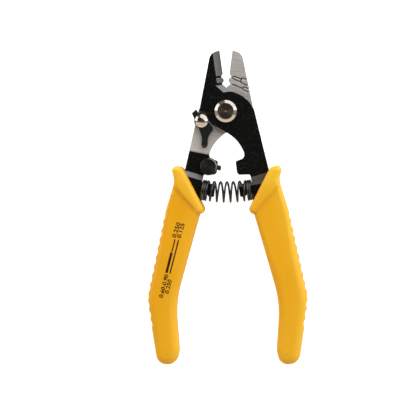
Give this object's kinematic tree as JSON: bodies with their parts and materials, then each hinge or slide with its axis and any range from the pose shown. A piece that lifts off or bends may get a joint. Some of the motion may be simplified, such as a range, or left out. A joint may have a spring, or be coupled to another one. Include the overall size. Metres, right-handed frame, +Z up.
{
  "type": "fibre stripper",
  "caption": "Scissor-shaped hand stripper for optical fibre: crossed notched blades on a pivot bolt, moulded grips, return spring, lock lever and closing stop.",
  "frame": {"origin": "pivot axis, in the plane that the tool rests on when it lies on its back", "axes": "+Y towards the jaws, +X to the right seen from the front, +Z up out of the front face along the pivot"},
  "size_m": [0.0758, 0.1489, 0.012],
  "materials": {
    "ground_steel": "surface-ground tool steel, fine parallel grinding lines",
    "black_oxide_steel": "black oxide on stamped steel, satin",
    "polished_steel": "turned and polished steel",
    "plain_steel": "zinc-bright plain steel",
    "spring_wire": "blackened spring wire, oiled",
    "grip_plastic": "amber yellow moulded vinyl, soft satin gloss"
  },
  "bodies": {
    "left_arm": {"rear_blade": "ground_steel", "left_grip": "grip_plastic", "pivot_bolt": "polished_steel", "pivot_washer": "plain_steel", "pivot_nut": "plain_steel", "lock_washer": "plain_steel", "lock_rivet": "polished_steel", "stop_boss": "black_oxide_steel", "stop_screw": "black_oxide_steel", "return_spring": "spring_wire"},
    "right_arm": {"front_blade": "black_oxide_steel", "right_grip": "grip_plastic"},
    "lock": {"lock_lever": "black_oxide_steel"}
  },
  "joints": [
    {"name": "handles_hinge", "type": "hinge", "parent": "left_arm", "child": "right_arm", "pos_m": [0, 0, 0.006], "axis": [0, 0, 1], "range_deg": [-15.6, 0], "stiffness_Nm_per_rad": 0.5, "springref_deg": 5.73, "deforming": ["return_spring"]},
    {"name": "lock_lever_hinge", "type": "hinge", "parent": "left_arm", "child": "lock", "pos_m": [-0.01169, -0.00451, 0.006], "axis": [0, 0, 1], "range_deg": [-9, 4]}
  ]
}
